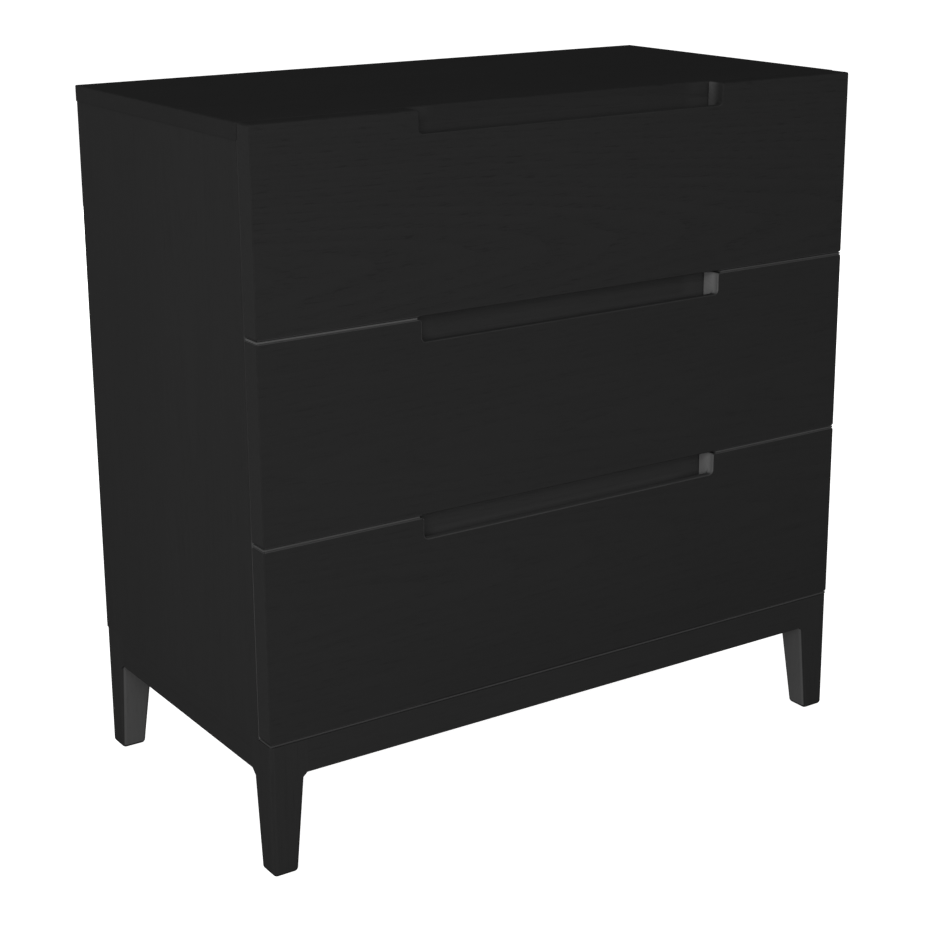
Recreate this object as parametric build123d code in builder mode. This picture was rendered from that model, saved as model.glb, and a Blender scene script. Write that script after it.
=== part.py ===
"""Chest of three full-width drawers on a base frame with tapered legs.

Millimetres, +Z up. The origin is on the floor, under the middle of the chest.
The drawers open towards -Y. Drawer 1 is the top one.
"""

import os

from build123d import *

os.makedirs("parts", exist_ok=True)

# Overall sizes
overall_width = 800.0  # over the top panel
overall_depth = 420.0  # drawer faces to rear edges
overall_height = 810.0
top_overhang = 1.0  # top panel past each side panel

# Carcass boards
panel_thickness = 18.0
panel_arris = 1.0  # bevel of the boards' outer edges
back_thickness = 5.0
back_inset = 12.0  # rear edges to the back panel
back_groove_depth = 8.0
groove_play = 0.2  # groove wider than the board in it
rail_thickness = 18.0
rail_height = 44.0
rail_rise = 8.0  # rail's top edge over the middle of the gap it closes
top_rail_height = 22.0  # rail under the top panel, behind the first notch
housing_depth = 8.0  # rails and bottom panel into the side panels
housing_margin = 6.0  # board's edge to its tongue or stub tenon
housing_stop = 12.0  # the bottom's tongue stops short of the front edge
housing_play = 0.1

# Drawer fronts with a finger notch in the top edge
drawer_count = 3
front_thickness = 25.0
front_gap = 3.0  # between fronts, and behind and below them
front_corner = 3.0
front_arris = 1.0  # bevel round the front's outer face
notch_width = 407.0
notch_depth = 25.0
notch_corner = 5.5
notch_shoulder = 3.0  # rounding where the notch meets the top edge
notch_lip = 8.0  # level part of the notch, before it slopes down to the rear

# Base frame
base_height = 152.0
apron_height = 38.0
apron_thickness = 25.0
leg_block = 44.0  # square head of the leg, between the aprons
leg_knee = 41.0  # width of the tapered part at the aprons' lower edge
leg_toe = 30.0  # width at the floor
knee_bevel = 2.5  # where the taper meets the head
leg_arris = 5.0  # rounding of the leg's long edges
foot_round = 5.0  # rounding round the sole
tenon_length = 18.0
tenon_thickness = 8.0
tenon_height = 24.0
tenon_setback = 8.0  # outer face of the frame to the tenon
tenon_play = 0.1
block_reach = 66.0  # corner block along each apron, past the leg
block_height = 25.0

# Drawer boxes, dovetailed at the corners
box_board = 12.0
box_lift = 20.0  # front's lower edge to the box's
box_headroom = 16.5  # box's upper edge to the rail over it, at the tightest drawer
tail_count = 4
pin_width = 10.0  # narrow side of a pin
tail_slope = 1 / 7
box_bottom_thickness = 6.0
box_bottom_lift = 10.0
box_groove_depth = 6.0

# Telescopic runners, one pair to a drawer
runner_width = 12.7  # side panel to drawer box
runner_height = 45.0
runner_gauge = 1.2  # steel strip
runner_lip = 4.0
runner_play = 0.3  # running clearance between members
runner_mouth = 1.7  # cabinet member's edge to the drawer box
runner_step = 50.0  # runners come in lengths of this step
runner_setback = 2.0  # carcass front to the runner's end
runner_rear_room = 10.0
runner_centre = 45.0  # box's lower edge to the runner's middle
runner_fold = 1.2  # bevel along the outside of a fold

# Dowels between the top and the side panels
dowel_diameter = 8.0
dowel_in_top = 11.0
dowel_in_side = 19.0
dowel_play = 0.1
dowel_count = 3
dowel_margin = 45.0  # first and last dowel from the carcass's front and rear edges

# Planes that several pieces share
front_y = -overall_depth / 2
rear_y = overall_depth / 2
front_rear_y = front_y + front_thickness
carcass_y = front_rear_y + front_gap
body_half = overall_width / 2 - top_overhang
inner_half = body_half - panel_thickness
top_under = overall_height - panel_thickness
floor_top = base_height + panel_thickness
apron_under = base_height - apron_height
back_y = rear_y - back_inset - back_thickness
front_height = (overall_height - base_height - drawer_count * front_gap) / drawer_count
front_pitch = front_height + front_gap
carcass_depth = rear_y - carcass_y
runner_length = runner_step * ((back_y - carcass_y - runner_rear_room) // runner_step)
runner_front_y = carcass_y + runner_setback
box_half = inner_half - runner_width
box_inner_half = box_half - box_board
box_rear_y = runner_front_y + runner_length
box_inner_front_y = front_rear_y + box_board
box_inner_rear_y = box_rear_y - box_board
room_under_rail = front_pitch - front_gap / 2 + rail_rise - rail_height
room_under_top_rail = front_height - panel_thickness - top_rail_height
box_height = min(room_under_rail, room_under_top_rail) - box_lift - box_headroom
drawer_numbers = range(1, drawer_count + 1)
SIDES = {"left": -1, "right": 1}


def save(builder, name):
    """Names the finished piece and writes it to its own file."""
    builder.part.label = name
    export_step(builder.part, f"parts/{name}.step")


def front_under(number):
    """Height of the lower edge of a drawer's front, counted from the top drawer."""
    return overall_height - (number - 1) * front_pitch - front_height


def box_under(number):
    """Height of the lower edge of a drawer's box."""
    return front_under(number) + box_lift


def block(low, high, mode=Mode.ADD):
    """A box between two opposite corners."""
    size = [b - a for a, b in zip(low, high)]
    with Locations(tuple(low)):
        Box(*size, align=(Align.MIN, Align.MIN, Align.MIN), mode=mode)


# Rails stand under the top and behind the gaps between the fronts, and close the finger
# notches from behind: upper edge and height of each
rails = {"rail_under_top": (top_under, top_rail_height)}
for number in range(1, drawer_count):
    upper_edge = front_under(number) - front_gap / 2 + rail_rise
    rails[f"rail_under_drawer_{number}"] = (upper_edge, rail_height)


# ---------------------------------------------------------------- carcass
def dowel_spots():
    """Middles of the upright dowels, half in the top and half in a side panel."""
    z = top_under + (dowel_in_top - dowel_in_side) / 2
    pitch = (carcass_depth - 2 * dowel_margin) / (dowel_count - 1)
    rows = [carcass_y + dowel_margin + number * pitch for number in range(dowel_count)]
    edges = [side * (body_half - panel_thickness / 2) for side in SIDES.values()]
    return [(x, y, z) for x in edges for y in rows]


def bore_dowels():
    """Cuts the dowels' bores in the board being made."""
    with Locations(*dowel_spots()):
        Cylinder(
            dowel_diameter / 2 + dowel_play,
            dowel_in_top + dowel_in_side + 2 * dowel_play,
            mode=Mode.SUBTRACT,
        )


def stub_tenon(side, rail_top, height, play=0.0):
    """The end of a rail that sits in a side panel; play widens it into the mortise."""
    xs = sorted((side * inner_half, side * (inner_half + housing_depth + play)))
    near = carcass_y + housing_margin - play
    far = carcass_y + rail_thickness - housing_margin + play
    low = rail_top - height + housing_margin - play
    high = rail_top - housing_margin + play
    return (xs[0], near, low), (xs[1], far, high)


def bottom_tongue(side, play=0.0):
    """The edge of the bottom panel that sits in a side panel's stopped housing."""
    xs = sorted((side * inner_half, side * (inner_half + housing_depth + play)))
    low = base_height + housing_margin - play
    high = floor_top - housing_margin + play
    return (xs[0], carcass_y + housing_stop - play, low), (xs[1], rear_y, high)


def groove_for_back():
    """Cuts the groove that holds the back panel in the boards around it."""
    block(
        (-inner_half - back_groove_depth, back_y - groove_play / 2, floor_top - back_groove_depth),
        (
            inner_half + back_groove_depth,
            back_y + back_thickness + groove_play / 2,
            top_under + back_groove_depth,
        ),
        Mode.SUBTRACT,
    )


def make_top():
    with BuildPart() as top_panel:
        block((-overall_width / 2, carcass_y, top_under), (overall_width / 2, rear_y, overall_height))
        seen = top_panel.edges().filter_by(Axis.Z) + top_panel.faces().sort_by(Axis.Z)[-1].edges()
        chamfer(seen, panel_arris)
        groove_for_back()
        bore_dowels()
    save(top_panel, "top_panel")


def make_side(name, side):
    near, far = sorted((side * inner_half, side * body_half))
    with BuildPart() as side_panel:
        block((near, carcass_y, base_height), (far, rear_y, top_under))
        outer = side_panel.faces().sort_by(Axis.X)[-1 if side > 0 else 0]
        chamfer(outer.edges().filter_by(Axis.Z), panel_arris)
        groove_for_back()
        block(*bottom_tongue(side, housing_play), Mode.SUBTRACT)
        for rail_top, height in rails.values():
            block(*stub_tenon(side, rail_top, height, housing_play), Mode.SUBTRACT)
        bore_dowels()
    save(side_panel, f"{name}_side_panel")


def make_bottom():
    with BuildPart() as bottom_panel:
        block((-inner_half, carcass_y, base_height), (inner_half, rear_y, floor_top))
        for side in SIDES.values():
            block(*bottom_tongue(side))
        groove_for_back()
    save(bottom_panel, "bottom_panel")


def make_back():
    edge = back_groove_depth - groove_play
    with BuildPart() as back_panel:
        block(
            (-inner_half - edge, back_y, floor_top - edge),
            (inner_half + edge, back_y + back_thickness, top_under + edge),
        )
    save(back_panel, "back_panel")


def make_rail(name, rail_top, height):
    with BuildPart() as rail:
        block(
            (-inner_half, carcass_y, rail_top - height),
            (inner_half, carcass_y + rail_thickness, rail_top),
        )
        for side in SIDES.values():
            block(*stub_tenon(side, rail_top, height))
    save(rail, name)


def make_dowels():
    with BuildPart() as dowels:
        with Locations(*dowel_spots()):
            Cylinder(dowel_diameter / 2, dowel_in_top + dowel_in_side)
    save(dowels, "carcass_dowels")


# ---------------------------------------------------------------- base frame
def draw_leg():
    """Side view of a leg: upright outer face, tapered inner face, square head."""
    Polygon(
        (0, 0),
        (leg_toe, 0),
        (leg_knee, apron_under),
        (leg_block, apron_under),
        (leg_block, base_height),
        (0, base_height),
        align=None,
    )
    knee = vertices().sort_by_distance((leg_knee, apron_under, 0))[0]
    chamfer(knee, knee_bevel)


def is_leg_arris(edge):
    """True of the upright edges, apart from the head's short ones, where the aprons meet it."""
    return edge.length > 2 * apron_height


def frame_tenon(side, end, runs_along_x, play=0.0):
    """The end of an apron that sits in a leg's mortise; play widens it into the mortise."""
    reach = (leg_block - tenon_length - play, leg_block)
    thick = (tenon_setback - play, tenon_setback + tenon_thickness + play)
    across, along = (reach, thick) if runs_along_x else (thick, reach)
    xs = sorted(side * (body_half - value) for value in across)
    ys = sorted(end * (rear_y - value) for value in along)
    middle = (base_height + apron_under) / 2
    half = tenon_height / 2 + play
    return (xs[0], ys[0], middle - half), (xs[1], ys[1], middle + half)


def make_leg(name, side, end):
    corner = (side * body_half, end * rear_y, 0)
    with BuildPart() as leg:
        with BuildSketch(Plane(corner, x_dir=(-side, 0, 0), z_dir=(0, side, 0))):
            draw_leg()
        extrude(amount=leg_block, both=True)
        with BuildSketch(Plane(corner, x_dir=(0, -end, 0), z_dir=(-end, 0, 0))):
            draw_leg()
        extrude(amount=leg_block, both=True, mode=Mode.INTERSECT)
        fillet(leg.edges().filter_by(is_leg_arris), leg_arris)
        fillet(leg.faces().sort_by(Axis.Z)[0].edges(), foot_round)
        for runs_along_x in (True, False):
            block(*frame_tenon(side, end, runs_along_x, tenon_play), Mode.SUBTRACT)
    save(leg, name)


def make_cross_apron(name, end):
    """Front or rear apron, between the legs' heads."""
    half = body_half - leg_block
    near, far = sorted((end * rear_y, end * (rear_y - apron_thickness)))
    with BuildPart() as apron:
        block((-half, near, apron_under), (half, far, base_height))
        for side in SIDES.values():
            block(*frame_tenon(side, end, True))
    save(apron, name)


def make_side_apron(name, side):
    half = rear_y - leg_block
    near, far = sorted((side * body_half, side * (body_half - apron_thickness)))
    with BuildPart() as apron:
        block((near, -half, apron_under), (far, half, base_height))
        for end in (-1, 1):
            block(*frame_tenon(side, end, False))
    save(apron, name)


def make_corner_blocks():
    """Braces glued into the corners of the frame, cut round the legs' heads."""
    far = leg_block + block_reach
    with BuildPart() as blocks:
        for side in SIDES.values():
            for end in (-1, 1):
                outline = [
                    (leg_block, apron_thickness),
                    (far, apron_thickness),
                    (apron_thickness, far),
                    (apron_thickness, leg_block),
                    (leg_block, leg_block),
                ]
                points = [(side * (body_half - u), end * (rear_y - v)) for u, v in outline]
                with BuildSketch(Plane.XY.offset(base_height - block_height)):
                    Polygon(*points, align=None)
                extrude(amount=block_height)
    save(blocks, "corner_blocks")


# ---------------------------------------------------------------- drawers
def make_front(name, under):
    """Applied front. Its notch is level at the lip, then slopes down to the rear for the fingers."""
    top = under + front_height
    fall = front_thickness - notch_lip
    face = Plane((0, front_y, 0), x_dir=(1, 0, 0), z_dir=(0, -1, 0))
    with BuildPart() as front:
        with BuildSketch(face):
            with Locations((0, under + front_height / 2)):
                RectangleRounded(2 * body_half, front_height, front_corner)
        extrude(amount=-front_thickness)
        with BuildSketch(face):
            draw_notch(top)
        extrude(amount=-notch_lip, mode=Mode.SUBTRACT)
        with BuildSketch(face.offset(-notch_lip)):
            draw_notch(top)
        extrude(amount=fall * 2**0.5, dir=(0, 1, -1), mode=Mode.SUBTRACT)
        for side in SIDES.values():
            shoulder = (side * notch_width / 2, (front_y + front_rear_y) / 2, top)
            fillet(front.edges().sort_by_distance(shoulder)[0], notch_shoulder)
        rim = front.faces().sort_by(Axis.Y)[0].outer_wire().edges()
        chamfer(rim, front_arris)
    save(front, name)


def draw_notch(top):
    """Finger notch, open at the top edge, with rounded lower corners."""
    above = 2 * front_thickness
    with Locations((0, top - notch_depth + (notch_depth + above) / 2)):
        RectangleRounded(notch_width, notch_depth + above, notch_corner)


def box_tails(low):
    """Side view of a row of dovetails at the box's front end, as corner points."""
    pitch = box_height / tail_count
    wide = (pitch - pin_width) / 2
    narrow = wide - tail_slope * box_board
    rows = []
    for number in range(tail_count):
        middle = low + (number + 0.5) * pitch
        rows.append(
            [
                (front_rear_y, middle - wide),
                (front_rear_y, middle + wide),
                (box_inner_front_y, middle + narrow),
                (box_inner_front_y, middle - narrow),
            ]
        )
    return rows


def draw_tails(low):
    """The dovetails at both ends of a box side."""
    box_mid_y = (front_rear_y + box_rear_y) / 2
    for points in box_tails(low):
        Polygon(*points, align=None)
        Polygon(*[(2 * box_mid_y - y, z) for y, z in points], align=None)


def cut_box_groove(low):
    """Groove round the inside of the box for its bottom."""
    groove = low + box_bottom_lift - groove_play / 2
    block(
        (-box_inner_half - box_groove_depth, box_inner_front_y - box_groove_depth, groove),
        (
            box_inner_half + box_groove_depth,
            box_inner_rear_y + box_groove_depth,
            groove + box_bottom_thickness + groove_play,
        ),
        Mode.SUBTRACT,
    )


def make_box_side(name, side, low):
    """Side of a drawer box, with the tails of its corner joints."""
    outer = Plane((side * box_half, 0, 0), x_dir=(0, 1, 0), z_dir=(1, 0, 0))
    middle_z = low + box_height / 2
    with BuildPart() as box_side:
        with BuildSketch(outer):
            with Locations(((box_inner_front_y + box_inner_rear_y) / 2, middle_z)):
                Rectangle(box_inner_rear_y - box_inner_front_y, box_height)
            draw_tails(low)
        extrude(amount=-side * box_board)
        cut_box_groove(low)
    save(box_side, name)


def make_box_end(name, near, low):
    """Front or back of a drawer box, with the pins between the sides' tails."""
    with BuildPart() as box_end:
        block((-box_half, near, low), (box_half, near + box_board, low + box_height))
        for side in SIDES.values():
            with BuildSketch(Plane((side * box_half, 0, 0), x_dir=(0, 1, 0), z_dir=(1, 0, 0))):
                draw_tails(low)
            extrude(amount=-side * box_board, mode=Mode.SUBTRACT)
        cut_box_groove(low)
    save(box_end, name)


def make_box_bottom(name, low):
    reach = box_groove_depth - groove_play
    face = low + box_bottom_lift
    with BuildPart() as box_bottom:
        block(
            (-box_inner_half - reach, box_inner_front_y - reach, face),
            (box_inner_half + reach, box_inner_rear_y + reach, face + box_bottom_thickness),
        )
    save(box_bottom, name)


# ---------------------------------------------------------------- runners
def lipped_channel(back, height, mouth):
    """End view of a rolled channel, with its web at back and its lips at mouth."""
    middle = (back + mouth) / 2
    depth = mouth - back
    with Locations((middle, 0)):
        Rectangle(depth, height)
        chamfer(vertices(), runner_fold)
        Rectangle(depth - 2 * runner_gauge, height - 2 * runner_gauge, mode=Mode.SUBTRACT)
    with Locations((mouth, 0)):
        opening = height - 2 * runner_gauge - 2 * runner_lip
        Rectangle(4 * runner_gauge, opening, mode=Mode.SUBTRACT)


def runner_plane(side, low, y):
    """Cross-section of one runner: x from the side panel towards the drawer, y upwards."""
    origin = (side * inner_half, y, low + runner_centre)
    return Plane(origin, x_dir=(-side, 0, 0), z_dir=(0, side, 0))


middle_back = runner_gauge + runner_play
middle_mouth = runner_width - runner_mouth - runner_gauge - runner_play
middle_height = runner_height - 2 * runner_gauge - 2 * runner_play
slider_foot = middle_back + runner_gauge + runner_play
slider_height = middle_height - 2 * runner_gauge - 2 * runner_play
slider_neck = middle_height - 2 * runner_gauge - 2 * runner_lip - 2 * runner_play


def make_cabinet_member(name, side, low):
    with BuildPart() as member:
        with BuildSketch(runner_plane(side, low, runner_front_y)):
            lipped_channel(0, runner_height, runner_width - runner_mouth)
        extrude(amount=side * runner_length)
    save(member, name)


def make_middle_member(name, side, low):
    with BuildPart() as member:
        with BuildSketch(runner_plane(side, low, runner_front_y)):
            lipped_channel(middle_back, middle_height, middle_mouth)
        extrude(amount=side * runner_length)
    save(member, name)


def make_drawer_member(name, side, low):
    """Hat section on the drawer box, with feet that hook behind the middle member's lips."""
    with BuildPart() as member:
        with BuildSketch(runner_plane(side, low, runner_front_y)):
            with Locations(((slider_foot + runner_width) / 2, 0)):
                Rectangle(runner_width - slider_foot, slider_neck)
            with Locations((slider_foot + runner_gauge / 2, 0)):
                Rectangle(runner_gauge, slider_height)
            with Locations(((slider_foot + runner_width) / 2 - runner_gauge, 0)):
                Rectangle(
                    runner_width - slider_foot,
                    slider_neck - 2 * runner_gauge,
                    mode=Mode.SUBTRACT,
                )
        extrude(amount=side * runner_length)
    save(member, name)


# ---------------------------------------------------------------- all pieces
make_top()
make_bottom()
make_back()
for name, (rail_top, height) in rails.items():
    make_rail(name, rail_top, height)
make_dowels()
make_cross_apron("front_apron", -1)
make_cross_apron("back_apron", 1)
make_corner_blocks()

for word, side in SIDES.items():
    make_side(word, side)
    make_side_apron(f"{word}_apron", side)
    make_leg(f"front_{word}_leg", side, -1)
    make_leg(f"back_{word}_leg", side, 1)

for number in drawer_numbers:
    low = box_under(number)
    drawer = f"drawer_{number}"
    make_front(f"{drawer}_front", front_under(number))
    make_box_end(f"{drawer}_box_front", front_rear_y, low)
    make_box_end(f"{drawer}_box_back", box_inner_rear_y, low)
    make_box_bottom(f"{drawer}_box_bottom", low)
    for word, side in SIDES.items():
        make_box_side(f"{drawer}_box_{word}_side", side, low)
        make_cabinet_member(f"runner_{number}_{word}_cabinet_member", side, low)
        make_middle_member(f"runner_{number}_{word}_middle_member", side, low)
        make_drawer_member(f"runner_{number}_{word}_drawer_member", side, low)
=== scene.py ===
import math

import bmesh
import bpy
from mathutils import Matrix, Vector


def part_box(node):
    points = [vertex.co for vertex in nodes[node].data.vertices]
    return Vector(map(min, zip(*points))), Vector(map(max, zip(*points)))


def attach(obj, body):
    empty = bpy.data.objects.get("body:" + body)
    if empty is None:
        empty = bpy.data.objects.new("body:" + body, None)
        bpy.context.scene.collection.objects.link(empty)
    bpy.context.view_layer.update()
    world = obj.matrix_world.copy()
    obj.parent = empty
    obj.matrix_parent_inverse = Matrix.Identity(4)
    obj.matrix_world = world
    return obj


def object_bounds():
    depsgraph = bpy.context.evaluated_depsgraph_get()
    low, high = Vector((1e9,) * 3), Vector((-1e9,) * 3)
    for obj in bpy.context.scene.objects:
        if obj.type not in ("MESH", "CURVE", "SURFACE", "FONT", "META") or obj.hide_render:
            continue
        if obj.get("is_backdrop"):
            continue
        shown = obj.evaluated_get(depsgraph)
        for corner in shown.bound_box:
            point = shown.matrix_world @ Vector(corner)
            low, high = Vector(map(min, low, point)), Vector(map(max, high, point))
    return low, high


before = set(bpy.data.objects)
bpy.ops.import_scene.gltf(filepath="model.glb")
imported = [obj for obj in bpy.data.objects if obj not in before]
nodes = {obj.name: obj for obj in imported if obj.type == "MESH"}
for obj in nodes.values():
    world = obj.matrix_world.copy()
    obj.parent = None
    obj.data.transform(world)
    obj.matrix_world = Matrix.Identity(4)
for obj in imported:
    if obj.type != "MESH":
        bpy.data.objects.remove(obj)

cad_low, cad_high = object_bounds()


# ---------------------------------------------------------------- top panel
# The slab that closes the carcass: oak board, its edges eased with a fine bevel, held to the
# sides by hidden dowels. It is stained dead black over open pores, so the grain stays legible
# as faint darker dashes along slow flames; its underside has only a grey seal coat.
class Finish:
    """A procedural material, with short calls for wiring its nodes."""

    def __init__(self, name):
        self.material = bpy.data.materials.new(name)
        self.material.use_nodes = True
        self.tree = self.material.node_tree
        self.tree.nodes.clear()
        self.surface = self.node("BsdfPrincipled")
        self.link(self.surface.outputs[0], self.node("OutputMaterial").inputs[0])
        place = self.node("TexCoord")
        self.point = place.outputs["Object"]
        self.spot = self.split(self.point)
        self.facing = self.split(place.outputs["Normal"])

    def node(self, kind, **settings):
        made = self.tree.nodes.new("ShaderNode" + kind)
        for name, value in settings.items():
            setattr(made, name, value)
        return made

    def link(self, source, target):
        self.tree.links.new(source, target)

    def feed(self, socket, value):
        if isinstance(value, bpy.types.NodeSocket):
            self.link(value, socket)
        else:
            socket.default_value = value

    def split(self, vector):
        made = self.node("SeparateXYZ")
        self.link(vector, made.inputs[0])
        return made.outputs

    def math(self, operation, first, second=0.0):
        made = self.node("Math", operation=operation)
        self.feed(made.inputs[0], first)
        self.feed(made.inputs[1], second)
        return made.outputs[0]

    def vector_math(self, operation, first, second=(0.0, 0.0, 0.0)):
        made = self.node("VectorMath", operation=operation)
        self.feed(made.inputs[0], first)
        self.feed(made.inputs[1], second)
        return made.outputs["Value" if operation == "LENGTH" else "Vector"]

    def mapping(self, vector, kind="POINT", location=(0, 0, 0), rotation=(0, 0, 0), scale=(1, 1, 1)):
        made = self.node("Mapping", vector_type=kind)
        self.link(vector, made.inputs["Vector"])
        made.inputs["Location"].default_value = location
        made.inputs["Rotation"].default_value = rotation
        made.inputs["Scale"].default_value = scale
        return made.outputs[0]

    def ease(self, source, low, high, to_low=0.0, to_high=1.0):
        """Maps low..high of the source to to_low..to_high, smoothly and clamped."""
        made = self.node("MapRange", interpolation_type="SMOOTHSTEP")
        self.link(source, made.inputs["Value"])
        for name, value in zip(("From Min", "From Max", "To Min", "To Max"), (low, high, to_low, to_high)):
            made.inputs[name].default_value = value
        return made.outputs[0]

    def looking(self, way):
        """1 on faces that look to the front or down, 0 on the rest."""
        axis = {"front": 1, "down": 2}[way]
        return self.ease(self.facing[axis], -0.95, -0.9, 1.0, 0.0)

    def band(self, source, low, high):
        """1 where the source lies between low and high, 0 elsewhere."""
        over = self.math("GREATER_THAN", source, low)
        return self.math("MULTIPLY", over, self.math("LESS_THAN", source, high))

    def both(self, *masks):
        """1 where every mask is 1."""
        joined = masks[0]
        for mask in masks[1:]:
            joined = self.math("MULTIPLY", joined, mask)
        return joined

    def mix(self, factor, first, second):
        made = self.node("Mix", data_type="RGBA")
        self.feed(made.inputs[0], factor)
        for socket, value in ((made.inputs[6], first), (made.inputs[7], second)):
            self.feed(socket, (*value, 1.0) if isinstance(value, tuple) else value)
        return made.outputs[2]

    def scaled(self, colour, factor):
        """The colour made darker or lighter by a factor that may vary over the surface."""
        return self.vector_math("MULTIPLY", colour, self.joined(factor))

    def joined(self, value):
        made = self.node("CombineXYZ")
        for socket in made.inputs:
            self.link(value, socket)
        return made.outputs[0]

    def noise(self, vector, scale, detail=2.0, roughness=0.5):
        made = self.node("TexNoise")
        self.link(vector, made.inputs["Vector"])
        made.inputs["Scale"].default_value = scale
        made.inputs["Detail"].default_value = detail
        made.inputs["Roughness"].default_value = roughness
        return made.outputs["Fac"]

    def bump(self, height, strength, distance):
        made = self.node("Bump")
        made.inputs["Strength"].default_value = strength
        made.inputs["Distance"].default_value = distance
        self.link(height, made.inputs["Height"])
        self.link(made.outputs[0], self.surface.inputs["Normal"])


def grey(value):
    return (value, value, value)


black_stain = 0.0205
seal_coat = 0.12
ring_width = 0.0055
grain_turns = {"x": (0, 0, 0), "y": (0, 0, -math.pi / 2), "z": (0, math.pi / 2, 0)}


def stained_oak(name, grain, heart, lean=(0, 0, 0), tone=1.0, paler=lambda finish: (), figure=1.0):
    """Black-stained oak. The grain runs along x, y or z, and the board was cut beside the
    log's heart, whose line leans a little so that the rings open into flames. paler gives
    masks and the colours of faces painted another grey: some took less stain, and many
    carry painted light or painted shade. figure is how strongly the rings and pores show."""
    finish = Finish(name)
    turn = tuple(a + b for a, b in zip(grain_turns[grain], lean))
    log = finish.mapping(finish.point, "TEXTURE", heart, turn)
    # growth rings
    slow = finish.mapping(log, scale=(0.12, 1, 1))
    wobble = finish.math("MULTIPLY", finish.noise(slow, 7.0, 2.0), 0.024)
    ripple = finish.math("MULTIPLY", finish.noise(slow, 60.0, 2.0), 0.003)
    reach = finish.vector_math("LENGTH", finish.vector_math("MULTIPLY", log, (0.0, 1.0, 1.0)))
    reach = finish.math("ADD", reach, finish.math("ADD", wobble, ripple))
    ring = finish.math("FRACT", finish.math("DIVIDE", reach, ring_width))
    # pores, long dashes crowded into the early part of each ring
    fibre = finish.mapping(log, scale=(0.045, 1, 1))
    coarse = finish.noise(fibre, 820.0, 1.0, 0.6)
    fine = finish.noise(fibre, 2300.0, 1.0, 0.5)
    early = finish.ease(ring, 0.2, 0.75, 1.0, 0.15)
    pores = finish.math("MULTIPLY", finish.ease(coarse, 0.57, 0.68), early)
    scratches = finish.math("MULTIPLY", finish.ease(fine, 0.55, 0.7), 0.5)
    # slow changes of tone
    streaks = finish.noise(fibre, 110.0, 3.0, 0.6)
    cloud = finish.noise(slow, 5.0, 2.0)
    shade = finish.math("MULTIPLY", finish.math("SUBTRACT", ring, 0.5), 0.025 * figure)
    shade = finish.math("ADD", shade, finish.math("MULTIPLY", finish.math("SUBTRACT", streaks, 0.5), 0.13))
    shade = finish.math("ADD", shade, finish.math("MULTIPLY", finish.math("SUBTRACT", cloud, 0.5), 0.12))
    shade = finish.math("SUBTRACT", shade, finish.math("MULTIPLY", pores, 0.1 * figure))
    shade = finish.math("SUBTRACT", shade, finish.math("MULTIPLY", scratches, 0.05))
    shade = finish.math("ADD", shade, 1.015)
    # eased arrises, darkened with painted shade that cancels the light they catch
    level = [finish.math("ABSOLUTE", value) for value in finish.facing]
    widest = finish.math("MAXIMUM", finish.math("MAXIMUM", level[0], level[1]), level[2])
    arris_shade = finish.ease(finish.noise(finish.point, 60.0, 3.0), 0.4, 0.65, 0.07, 0.14)
    arris = finish.ease(widest, 0.8, 0.97, 1.0, 0.0)
    shade = finish.math("SUBTRACT", shade, finish.math("MULTIPLY", arris, arris_shade))
    colour = grey(black_stain * tone)
    for mask, value in paler(finish):
        colour = finish.mix(mask, colour, value)
    finish.link(finish.scaled(colour, shade), finish.surface.inputs["Base Color"])
    finish.link(finish.ease(coarse, 0.4, 0.7, 0.5, 0.66), finish.surface.inputs["Roughness"])
    finish.surface.inputs["Specular IOR Level"].default_value = 0.0
    finish.bump(finish.math("SUBTRACT", 1.0, pores), 0.3, 0.00015)
    return finish.material


def give(name, material):
    """Gives a carried-over piece its finish."""
    nodes[name].data.materials.clear()
    nodes[name].data.materials.append(material)


notch_ends = (0.166, 0.186)
# painted light on the top panel's front edge, lifting the shade inside the notch
notch_light_heights = (0.792, 0.806)
notch_edge_light = 1.12
notch_corner_light = 1.2


def top_panel_faces(finish):
    """Seal coat below, and painted light on the front edge inside the notch: paler low down and towards the
    notch's ends, lifting its shade.
    """
    in_front = finish.looking("front")
    low_down = finish.ease(finish.spot[2], *notch_light_heights, 1.0, 0.0)
    at_ends = finish.ease(finish.math("ABSOLUTE", finish.spot[0]), *notch_ends)
    return [
        (finish.looking("down"), grey(seal_coat)),
        (finish.both(in_front, low_down), grey(black_stain * notch_edge_light)),
        (finish.both(in_front, at_ends), grey(black_stain * notch_corner_light)),
    ]


top_stain = stained_oak("top_stain", "x", (0, -0.07, 0.73), (0, 0.045, 0), 0.95, top_panel_faces)
give("top_panel", top_stain)


# ---------------------------------------------------------------- carcass
# Two side panels, the bottom, and the rails under the top and the upper drawers, all stained oak
# board. The sides' grain stands up and the rest runs across. Faces that look inwards have only the
# seal coat. The sides' front edges, seen in the gap beside the fronts, are pale with painted light,
# paler low down, and the rails seen in the notches are painted paler to lift their shade. The thin
# back is hardboard in grooves.
sides = {"left": -1, "right": 1}
side_tone = 1.04
# greys and heights of the painted light on the sides' front edges, paler low down
side_gap_light_greys = (0.11, 0.06)
side_gap_light_heights = (0.3, 0.45)


def sealed_inside_lit_edge(side):
    """Seal coat on the inner face up to the back panel, and painted light on the front edge, paler low
    down, so the gap beside the fronts reads as a light line.
    """

    def faces(finish):
        inward = finish.math("MULTIPLY", finish.facing[0], -side)
        lower, upper = (grey(value) for value in side_gap_light_greys)
        # painted light on the front edge, paler low down
        edge = finish.mix(finish.ease(finish.spot[2], *side_gap_light_heights), lower, upper)
        inside = finish.math("LESS_THAN", finish.spot[1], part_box("back_panel")[0].y)
        return [
            (finish.both(inside, finish.ease(inward, 0.9, 0.95)), grey(seal_coat)),
            (finish.looking("front"), edge),
        ]

    return faces


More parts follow.
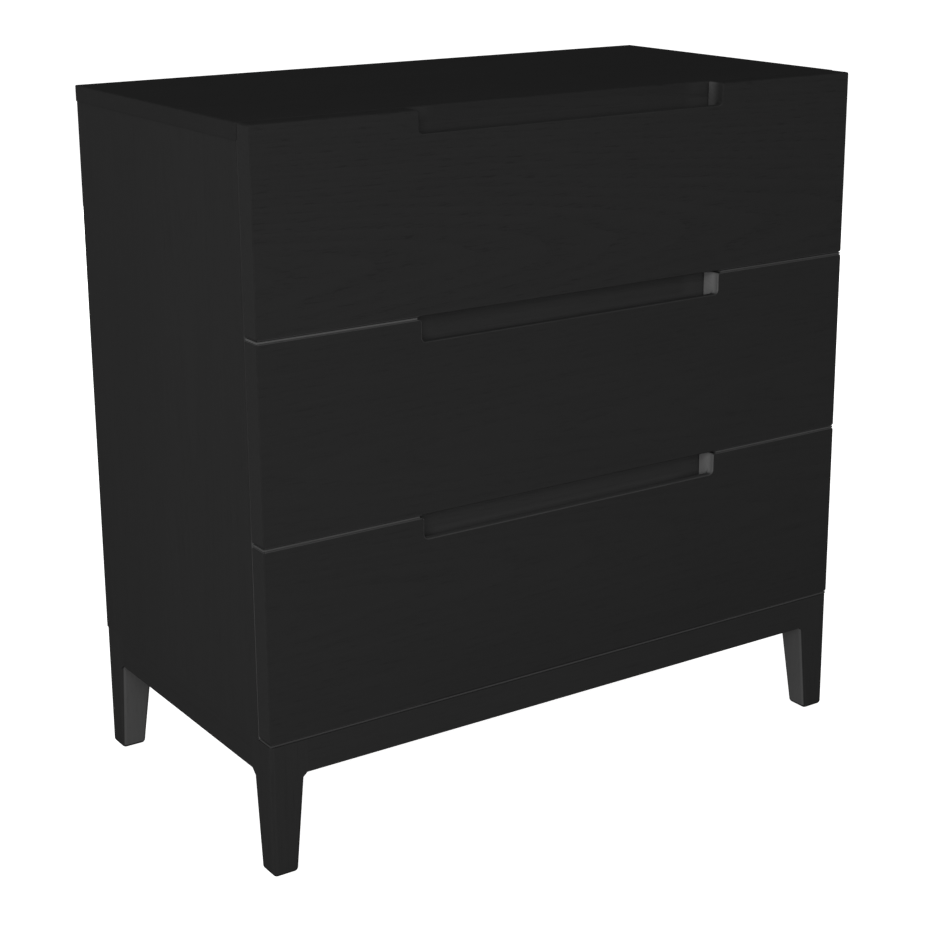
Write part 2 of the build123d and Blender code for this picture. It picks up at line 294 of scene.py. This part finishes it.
for word, side in sides.items():
    heart = (side * 0.32, 0.05 * side, 0.45)
    name = f"{word}_side_stain"
    lean = (0, 0.035 * side, 0)
    give(f"{word}_side_panel", stained_oak(name, "z", heart, lean, side_tone, sealed_inside_lit_edge(side)))
give("bottom_panel", stained_oak("bottom_stain", "x", (0.2, 0.04, 0.1), (0, 0.03, 0)))


# For each rail: its tone, painted paler to lift the shade inside the notch, the depths between which
# the painted light low down fades in, and how much paler that strip and the notch's ends are painted.
rail_tones_and_light = {
    "top": (1.26, 0.012, 0.006, 1.0, 1.2),
    "drawer_1": (1.64, 0.038, 0.033, 1.12, 1.18),
    "drawer_2": (1.82, 0.041, 0.031, 1.2, 1.06),
}


def painted_light_rail(place):
    """Stained oak with painted light that lifts the shade inside the notch: paler low down, behind the
    notch's floor, and at the notch's ends.
    """
    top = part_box(f"rail_under_{place}")[1].z
    tone, deep, shallow, low_light, ends_light = rail_tones_and_light[place]

    def faces(finish):
        low = finish.ease(finish.spot[2], top - deep, top - shallow, 1.0, 0.0)
        at_ends = finish.ease(finish.math("ABSOLUTE", finish.spot[0]), *notch_ends)
        stain = black_stain * tone
        return [(low, grey(stain * low_light)), (at_ends, grey(stain * ends_light))]

    return stained_oak(f"rail_under_{place}_stain", "x", (0.1, -0.1, 0.5), tone=tone, paler=faces)


for place in rail_tones_and_light:
    give(f"rail_under_{place}", painted_light_rail(place))


def screened_hardboard(name, hidden_grey):
    """Black hardboard with the fine screen marks of its pressing, and its hidden side grey."""
    finish = Finish(name)
    marks = finish.math("MULTIPLY", finish.spot[0], 3600.0), finish.math("MULTIPLY", finish.spot[2], 3600.0)
    waves = [finish.math("SINE", mark) for mark in marks]
    screen = finish.math("MULTIPLY", waves[0], waves[1])
    cloud = finish.noise(finish.point, 30.0, 4.0, 0.6)
    shade = finish.ease(cloud, 0.3, 0.7, 0.9, 1.1)
    shade = finish.math("ADD", finish.math("MULTIPLY", screen, 0.07), shade)
    colour = finish.mix(finish.looking("front"), grey(0.019), grey(hidden_grey))
    finish.link(finish.scaled(colour, shade), finish.surface.inputs["Base Color"])
    finish.surface.inputs["Roughness"].default_value = 0.8
    finish.surface.inputs["Specular IOR Level"].default_value = 0.0
    finish.bump(screen, 0.2, 0.0001)
    return finish.material


give("back_panel", screened_hardboard("hardboard", 0.16))


def planed_beech(name):
    """Unfinished beech with its short rusty flecks, for pieces that are out of sight."""
    finish = Finish(name)
    fibre = finish.mapping(finish.point, scale=(0.15, 1, 1))
    flecks = finish.ease(finish.noise(fibre, 500.0, 2.0), 0.56, 0.66)
    cloud = finish.ease(finish.noise(finish.point, 25.0, 3.0), 0.3, 0.7)
    ground = finish.mix(cloud, (0.47, 0.29, 0.165), (0.56, 0.37, 0.22))
    colour = finish.mix(finish.math("MULTIPLY", flecks, 0.5), ground, (0.27, 0.12, 0.055))
    finish.link(colour, finish.surface.inputs["Base Color"])
    finish.link(finish.ease(flecks, 0.0, 1.0, 0.55, 0.7), finish.surface.inputs["Roughness"])
    finish.surface.inputs["Specular IOR Level"].default_value = 0.2
    finish.bump(flecks, 0.2, 0.0001)
    return finish.material


beech = planed_beech("planed_beech")
give("carcass_dowels", beech)


# ---------------------------------------------------------------- base frame
# Four tapered legs of solid oak with the aprons tenoned into them. The tapered inner faces are
# paler with painted light, and the faces under the feet are darker with painted shade.
# painted light on the tapered inner faces of the legs
taper_light_greys = {"left": 0.065, "right": 0.08}
apron_tone = 1.03
leg_tone = 1.06
# painted shade on the down-facing faces of the feet
foot_shade_grey = 0.012


def leg_faces(word, end):
    """Painted light on the tapered inner faces, painted shade on the faces under the foot."""

    def faces(finish):
        slope = finish.facing[2]
        inward = [finish.math("MULTIPLY", finish.facing[0], -sides[word])]
        inward.append(finish.math("MULTIPLY", finish.facing[1], -end))
        inner = finish.ease(finish.math("MAXIMUM", *inward), 0.7, 0.85)
        return [
            (finish.both(inner, finish.band(slope, -0.3, -0.04)), grey(taper_light_greys[word])),
            (finish.ease(slope, -0.5, -0.3, 1.0, 0.0), grey(foot_shade_grey)),
        ]

    return faces


for end, step in (("front", -1), ("back", 1)):
    apron = stained_oak(f"{end}_apron_stain", "x", (0.1, 0.1 * step, -0.05), tone=apron_tone)
    give(f"{end}_apron", apron)
    for word, side in sides.items():
        heart = (side * 0.25, step * 0.1, 0.05)
        name = f"{end}_{word}_leg"
        give(name, stained_oak(f"{name}_stain", "z", heart, tone=leg_tone, paler=leg_faces(word, step)))
for word, side in sides.items():
    stain = stained_oak(f"{word}_apron_stain", "y", (side * 0.28, 0.05, -0.04), tone=apron_tone)
    give(f"{word}_apron", stain)
give("corner_blocks", beech)


# ---------------------------------------------------------------- corner block screws
# Zinc-plated pan-head screws, driven up through the corner blocks into the bottom panel, two to
# a block, each left with its cross recess at a different turn.
def zinc_plate(name):
    """Bright zinc with fine drawn lines along y and a few duller patches."""
    finish = Finish(name)
    drawn = finish.mapping(finish.point, scale=(1, 0.02, 1))
    lines = finish.noise(drawn, 1800.0, 2.0)
    dull = finish.ease(finish.noise(finish.point, 35.0, 4.0, 0.6), 0.45, 0.7)
    ground = finish.mix(finish.ease(lines, 0.35, 0.65), (0.5, 0.51, 0.525), (0.6, 0.61, 0.62))
    colour = finish.mix(finish.math("MULTIPLY", dull, 0.35), ground, (0.4, 0.41, 0.43))
    finish.link(colour, finish.surface.inputs["Base Color"])
    finish.link(finish.ease(dull, 0.0, 1.0, 0.28, 0.45), finish.surface.inputs["Roughness"])
    finish.surface.inputs["Metallic"].default_value = 1.0
    finish.bump(lines, 0.08, 0.00005)
    return finish.material


steel = zinc_plate("zinc_plate")


def settle(form):
    """Puts points and faces in a fixed order, which the operators leave to chance."""
    in_order = sorted(form.verts, key=lambda vert: vert.co[:])
    points = {vert: rank for rank, vert in enumerate(in_order)}
    in_order = sorted(form.faces, key=lambda face: sorted(points[vert] for vert in face.verts))
    faces = {face: rank for rank, face in enumerate(in_order)}
    form.faces.sort(key=faces.get)
    form.verts.sort(key=points.get)


crown = ((0.72, 0.96), (0.9, 0.75), (0.98, 0.42), (1.0, 0.0))  # reach and height, down to the rim
recess_taper = 0.8
turn_between_screws = 1.1


def pan_head(radius, height):
    """One screw head that stands on z = 0, with a cross recess in its crown."""
    recess_reach, recess_half, recess_depth = 0.5 * radius, 0.13 * radius, 0.55 * height
    form = bmesh.new()
    bmesh.ops.create_grid(form, x_segments=3, y_segments=3, size=1)
    for vert in form.verts:
        for axis in (0, 1):
            inner = abs(vert.co[axis]) < 0.5
            vert.co[axis] = math.copysign(recess_half if inner else recess_reach, vert.co[axis])
        vert.co.z = height
    middles = {face: face.calc_center_median() for face in form.faces}
    cross = [face for face, middle in middles.items() if min(abs(middle.x), abs(middle.y)) < 1e-9]
    rim = [edge for edge in form.edges if edge.is_boundary]
    for reach, level in crown:
        step = bmesh.ops.extrude_edge_only(form, edges=rim)["geom"]
        for vert in (item for item in step if isinstance(item, bmesh.types.BMVert)):
            flat = Vector((vert.co.x, vert.co.y, 0)).normalized() * radius * reach
            vert.co = flat + Vector((0, 0, height * level))
        rim = [item for item in step if isinstance(item, bmesh.types.BMEdge)]
    bmesh.ops.edgeloop_fill(form, edges=rim)
    sunk = bmesh.ops.extrude_face_region(form, geom=cross)["geom"]
    bmesh.ops.delete(form, geom=cross, context="FACES")
    for vert in (item for item in sunk if isinstance(item, bmesh.types.BMVert)):
        vert.co = Vector((vert.co.x * recess_taper, vert.co.y * recess_taper, vert.co.z - recess_depth))
    bmesh.ops.recalc_face_normals(form, faces=form.faces)
    settle(form)
    head = bpy.data.meshes.new("pan_head")
    form.to_mesh(head)
    form.free()
    return head


def drive_screws(name, body, spots, facing, radius=0.0045, height=0.0022):
    """Pan heads standing on a face at each spot, as one piece riding on a body."""
    head = pan_head(radius, height)
    form = bmesh.new()
    for number, spot in enumerate(spots):
        before = set(form.verts)
        form.from_mesh(head)
        added = [vert for vert in form.verts if vert not in before]
        turn = Vector(facing).to_track_quat("Z", "Y").to_matrix().to_4x4()
        turn = Matrix.Translation(spot) @ turn @ Matrix.Rotation(turn_between_screws * number, 4, "Z")
        bmesh.ops.transform(form, matrix=turn, verts=added)
    hold(name, form, body, steel)


def hold(name, form, body, material):
    """Makes the object of a finished bmesh and lets it ride on its body."""
    settle(form)
    mesh = bpy.data.meshes.new(name)
    form.to_mesh(mesh)
    form.free()
    mesh.materials.append(material)
    piece = bpy.data.objects.new(name, mesh)
    bpy.context.scene.collection.objects.link(piece)
    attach(piece, body)


body_half = 0.399
block_reaches = ((0.078, 0.038), (0.038, 0.078))
block_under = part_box("corner_blocks")[0].z
block_screws = []
for side in (-1, 1):
    for end in (-1, 1):
        for along, across in block_reaches:
            block_screws.append((side * (body_half - along), end * (cad_high.y - across), block_under))
drive_screws("corner_block_screws", "carcass", block_screws, (0, 0, -1))


# ---------------------------------------------------------------- runners
# Telescopic steel runners, three members to a side: one screwed to the cabinet, one to the
# drawer box, and one between that follows at half the speed. Rolled from bright zinc-plated strip.
drawer_numbers = (1, 2, 3)
for number in drawer_numbers:
    for word in sides:
        for member in ("cabinet", "middle", "drawer"):
            give(f"runner_{number}_{word}_{member}_member", steel)

# Three screws hold each drawer member, inside its hollow, to the side of the box.
strip = 0.0012
member_screw = (0.0038, 0.0018)
member_screw_reaches = (0.035, 0.17, 0.32)
for number in drawer_numbers:
    for word, side in sides.items():
        low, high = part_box(f"runner_{number}_{word}_drawer_member")
        web = (high.x if side < 0 else low.x) + side * strip
        spots = [(web, low.y + reach, (low.z + high.z) / 2) for reach in member_screw_reaches]
        name = f"runner_{number}_{word}_screws"
        drive_screws(name, f"drawer_{number}", spots, (side, 0, 0), *member_screw)


# ---------------------------------------------------------------- drawer boxes
# Dovetailed boxes of birch board under a grey lacquer thin enough to show the grain; the cut
# ends of the tails and pins drink more of it and turn darker. The bottom lies in a groove.
def lacquered_birch(name, grain):
    """Grey lacquer over birch whose grain runs along x or y."""
    finish = Finish(name)
    log = finish.mapping(finish.point, "TEXTURE", rotation=grain_turns[grain])
    fibre = finish.mapping(log, scale=(0.06, 1, 1))
    streaks = finish.noise(fibre, 140.0, 4.0, 0.6)
    cloud = finish.noise(finish.point, 9.0, 2.0)
    flecks = finish.ease(finish.noise(fibre, 900.0, 1.0), 0.58, 0.7)
    shade = finish.math("MULTIPLY", finish.math("SUBTRACT", streaks, 0.5), 0.42)
    shade = finish.math("ADD", shade, finish.math("MULTIPLY", finish.math("SUBTRACT", cloud, 0.5), 0.2))
    shade = finish.math("SUBTRACT", shade, finish.math("MULTIPLY", flecks, 0.1))
    shade = finish.math("ADD", shade, 1.02)
    ends = finish.ease(finish.math("ABSOLUTE", finish.facing["xyz".index(grain)]), 0.9, 0.95)
    colour = finish.mix(ends, grey(0.18), grey(0.115))
    finish.link(finish.scaled(colour, shade), finish.surface.inputs["Base Color"])
    finish.link(finish.ease(streaks, 0.3, 0.7, 0.42, 0.52), finish.surface.inputs["Roughness"])
    finish.surface.inputs["Specular IOR Level"].default_value = 0.1
    finish.bump(streaks, 0.1, 0.0002)
    return finish.material


birch_across = lacquered_birch("birch_across", "x")
birch_along = lacquered_birch("birch_along", "y")
for number in drawer_numbers:
    for piece in ("box_front", "box_back", "box_bottom"):
        give(f"drawer_{number}_{piece}", birch_across)
    for word in sides:
        give(f"drawer_{number}_box_{word}_side", birch_along)


# ---------------------------------------------------------------- drawer fronts
# Applied fronts of stained oak board, each with a finger notch cut out of its top edge. The end
# grain at the left and right took a little less stain than the faces, and the cut ends of the
# notches much less, with painted light on top that grows towards the back. The bevels along the
# gaps are painted pale as painted light, so the gaps read as light lines, and the notch floors are
# painted paler, the lower drawers more, to lift their shade.
front_tone = 0.95
end_grain_grey = 0.0225
# painted light on the bevels beside the gaps, so the gaps read as light lines
gap_bevel_light_grey = 0.05
# painted light on the notch floors, paler on the lower drawers to lift their shade
notch_floor_light_greys = {1: 0.0255, 2: 0.034, 3: 0.048}
# the notch's cut ends: paler end grain, plus painted light that grows towards the back
notch_end_grain_and_light_greys = {1: (0.0215, 0.063), 2: (0.1, 0.2), 3: (0.1, 0.19)}
notch_end_light_fades = {1: (0.005, 0.022), 2: (0.0, 0.01), 3: (0.0, 0.01)}
notch_zone, beside_notch_zone, end_zone = 0.25, (0.204, 0.209), 0.39
notch_floor_depths = (0.05, 0.02)
bevel_reach = 0.0015


def front_faces(number, low, high):
    """Thinner stain on the end grain and the notch's cut ends; painted light on the bevels at the gaps, on
    the notch floor and across the notch's ends.
    """

    def faces(finish):
        across = finish.math("ABSOLUTE", finish.spot[0])
        sideways = finish.math("ABSOLUTE", finish.facing[0])
        within = finish.math("LESS_THAN", across, notch_zone)
        beside_notch = finish.ease(across, *beside_notch_zone)
        floor = finish.ease(finish.facing[2], 0.3, 0.6)
        near, far = (low.y + reach for reach in notch_end_light_fades[number])
        outer, inner = (grey(value) for value in notch_end_grain_and_light_greys[number])
        # painted light: the cut ends grow paler towards the back
        fade = finish.mix(finish.ease(finish.spot[1], near, far), outer, inner)
        sloped = finish.band(finish.math("ABSOLUTE", finish.facing[2]), 0.6, 0.8)
        beside_gap = finish.math("LESS_THAN", finish.spot[2], low.z + bevel_reach)
        if number > 1:
            at_top = finish.math("GREATER_THAN", finish.spot[2], high.z - bevel_reach)
            beside_gap = finish.math("MAXIMUM", beside_gap, at_top)
        at_side = finish.math("GREATER_THAN", across, end_zone)
        deepest, highest = (high.z - depth for depth in notch_floor_depths)
        notch_floor = finish.both(within, floor, finish.band(finish.spot[2], deepest, highest))
        return [
            (finish.both(finish.ease(sideways, 0.9, 0.95), at_side), grey(end_grain_grey)),
            (finish.both(sloped, beside_gap, beside_notch), grey(gap_bevel_light_grey)),
            (notch_floor, grey(notch_floor_light_greys[number])),
            (finish.both(within, finish.ease(sideways, 0.3, 0.8)), fade),
        ]

    return faces


figures = {1: 1.7, 2: 1.1, 3: 1.1}
hearts = {1: (0, -0.13, 0.65, 0.05), 2: (0, -0.15, 0.44, -0.035), 3: (0, -0.14, 0.29, 0.04)}
for number in drawer_numbers:
    low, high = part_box(f"drawer_{number}_front")
    *heart, lean = hearts[number]
    faces = front_faces(number, low, high)
    name = f"drawer_{number}_stain"
    stain = stained_oak(name, "x", heart, (0, 0, lean), front_tone, faces, figures[number])
    give(f"drawer_{number}_front", stain)

# Four screws hold each front from inside the box.
front_screw = (0.005, 0.0024)
front_screw_across, front_screw_up, front_screw_down = 0.23, 0.036, 0.03
for number in drawer_numbers:
    low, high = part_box(f"drawer_{number}_box_front")
    heights = (low.z + front_screw_up, high.z - front_screw_down)
    spots = [(x, high.y, z) for x in (-front_screw_across, front_screw_across) for z in heights]
    drive_screws(f"drawer_{number}_front_screws", f"drawer_{number}", spots, (0, 1, 0), *front_screw)


# ---------------------------------------------------------------- edge lippings
# Thin lippings of solid oak with rounded arrises, glued along the upper edges of the two lower
# fronts and of the base frame. Their grey is painted light, paler than the boards and graded from
# the left end to the right, so the gap above each one reads as a light line.
# painted light: lipping greys at the left and right ends
lipping_light_greys = {1: (0.075, 0.048), 2: (0.057, 0.055), 3: (0.043, 0.047)}
lipping_height, lipping_setback, lipping_rounding = 0.0022, 0.001, 0.0006
lipping_end, notch_clear = 0.398, 0.2085


def lipping_light_stain(number):
    """Stained oak whose grey, painted light, changes evenly from the left end to the right."""

    def colour(finish):
        left, right = (grey(value) for value in lipping_light_greys[number])
        return [(1.0, finish.mix(finish.ease(finish.spot[0], -0.4, 0.4), left, right))]

    return stained_oak(f"lipping_{number}_stain", "x", (0.05, -0.3, 0.4), paler=colour)


for number in drawer_numbers:
    low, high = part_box(f"drawer_{number}_front")
    if number < len(drawer_numbers):
        body, bed = f"drawer_{number + 1}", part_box(f"drawer_{number + 1}_front")[1].z
        runs = [(-lipping_end, -notch_clear), (notch_clear, lipping_end)]
    else:
        body, bed = "carcass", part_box("front_apron")[1].z
        runs = [(-lipping_end, lipping_end)]
    form = bmesh.new()
    for start, stop in runs:
        near = Vector((start, low.y + lipping_setback, bed))
        far = Vector((stop, high.y, bed + lipping_height))
        place = Matrix.Translation((near + far) / 2) @ Matrix.Diagonal((*(far - near), 1))
        bmesh.ops.create_cube(form, size=1, matrix=place)
    long_edges = [edge for edge in form.edges if abs(edge.verts[0].co.x - edge.verts[1].co.x) > 0.1]
    bmesh.ops.bevel(
        form, geom=long_edges, offset=lipping_rounding, segments=2, profile=0.5, affect="EDGES", material=-1
    )
    hold(f"lipping_under_drawer_{number}", form, body, lipping_light_stain(number))


# ---------------------------------------------------------------- stop pads
# Small pads punched from black fibreboard and glued to the side panels' front edges. Each drawer
# front closes softly against four of them.
pad_radius, pad_height, pad_rounding = 0.0035, 0.0026, 0.0006
pad_across, pad_inset, pad_bed = 0.39, 0.03, 0.003
form = bmesh.new()
for number in drawer_numbers:
    low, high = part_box(f"drawer_{number}_front")
    for side in (-1, 1):
        for z in (low.z + pad_inset, high.z - pad_inset):
            place = Matrix.Translation((side * pad_across, high.y + pad_bed - pad_height / 2, z))
            place = place @ Matrix.Rotation(math.pi / 2, 4, "X")
            pad = bmesh.ops.create_cone(
                form, cap_ends=True, segments=20, radius1=pad_radius, radius2=pad_radius,
                depth=pad_height, matrix=place,
            )["verts"]
            front = [edge for edge in form.edges if all(
                vert in pad and vert.co.y < high.y + 0.001 for vert in edge.verts
            )]
            bmesh.ops.bevel(
                form, geom=front, offset=pad_rounding, segments=2, profile=0.5, affect="EDGES", material=-1
            )
hold("stop_pads", form, "carcass", screened_hardboard("pad_board", 0.012))


# ---------------------------------------------------------------- stage, light and camera
# A pale floor that keeps a soft shadow, a pale world, and three large soft lamps. Floor and world
# show white to the camera and in reflections.
floor_reach = 30
floor_form = bmesh.new()
bmesh.ops.create_grid(floor_form, x_segments=1, y_segments=1, size=floor_reach)
floor_mesh = bpy.data.meshes.new("floor")
floor_form.to_mesh(floor_mesh)
floor_form.free()
floor = bpy.data.objects.new("floor", floor_mesh)
bpy.context.scene.collection.objects.link(floor)
floor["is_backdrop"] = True
floor_glow = 0.85
world_strength = 0.37


def seen_directly(tree):
    """1 for camera, glossy and transmission rays."""
    path = tree.nodes.new("ShaderNodeLightPath")
    seen = path.outputs["Is Camera Ray"]
    for kind in ("Is Glossy Ray", "Is Transmission Ray"):
        widest = tree.nodes.new("ShaderNodeMath")
        widest.operation = "MAXIMUM"
        tree.links.new(seen, widest.inputs[0])
        tree.links.new(path.outputs[kind], widest.inputs[1])
        seen = widest.outputs[0]
    return seen


floor_paint = bpy.data.materials.new("floor_paint")
floor_paint.use_nodes = True
tree = floor_paint.node_tree
tree.nodes.clear()
matt = tree.nodes.new("ShaderNodeBsdfDiffuse")
matt.inputs["Color"].default_value = (0.8, 0.8, 0.8, 1)
glow = tree.nodes.new("ShaderNodeEmission")
strength = tree.nodes.new("ShaderNodeMath")
strength.operation = "MULTIPLY"
strength.inputs[1].default_value = floor_glow
tree.links.new(seen_directly(tree), strength.inputs[0])
tree.links.new(strength.outputs[0], glow.inputs["Strength"])
summed = tree.nodes.new("ShaderNodeAddShader")
tree.links.new(matt.outputs[0], summed.inputs[0])
tree.links.new(glow.outputs[0], summed.inputs[1])
tree.links.new(summed.outputs[0], tree.nodes.new("ShaderNodeOutputMaterial").inputs[0])
floor_mesh.materials.append(floor_paint)

world = bpy.data.worlds.new("studio")
bpy.context.scene.world = world
world.use_nodes = True
tree = world.node_tree
tree.nodes.clear()
mixed = tree.nodes.new("ShaderNodeMixShader")
tree.links.new(seen_directly(tree), mixed.inputs[0])
for socket, strength in ((mixed.inputs[1], world_strength), (mixed.inputs[2], 1.0)):
    background = tree.nodes.new("ShaderNodeBackground")
    background.inputs["Color"].default_value = (1, 1, 1, 1)
    background.inputs["Strength"].default_value = strength
    tree.links.new(background.outputs[0], socket)
tree.links.new(mixed.outputs[0], tree.nodes.new("ShaderNodeOutputWorld").inputs[0])


def soft_lamp(name, place, size, power):
    """A large square lamp that faces the middle of the chest."""
    lamp = bpy.data.lights.new(name, "AREA")
    lamp.size = size
    lamp.energy = power
    lamp_object = bpy.data.objects.new(name, lamp)
    middle = (cad_low + cad_high) / 2
    lamp_object.location = place
    lamp_object.rotation_euler = (Vector(place) - middle).to_track_quat("Z", "Y").to_euler()
    bpy.context.scene.collection.objects.link(lamp_object)


soft_lamp("left_softbox", (-2.7, 0.4, 1.3), 2.0, 18)
soft_lamp("front_softbox", (-1.98, -3.07, 1.8), 2.2, 86)
soft_lamp("rear_softbox", (1.7, 3.4, 0.95), 1.8, 70)

heading, tilt, roll = math.radians(34.15), math.radians(15.3), math.radians(-0.24)
camera_place = (-1.2865, -1.9232, 1.0663)
camera_data = bpy.data.cameras.new("camera")
camera_data.sensor_width = 36
camera_data.lens = 76.58
camera_data.shift_x, camera_data.shift_y = -0.02, -0.08
camera_data.clip_end = 100
camera = bpy.data.objects.new("camera", camera_data)
turn = Matrix.Rotation(-heading, 4, "Z") @ Matrix.Rotation(math.pi / 2 - tilt, 4, "X")
turn = turn @ Matrix.Rotation(roll, 4, "Z")
camera.matrix_world = Matrix.Translation(camera_place) @ turn
bpy.context.scene.collection.objects.link(camera)
bpy.context.scene.camera = camera
bpy.context.scene.view_settings.view_transform = "Standard"

low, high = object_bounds()
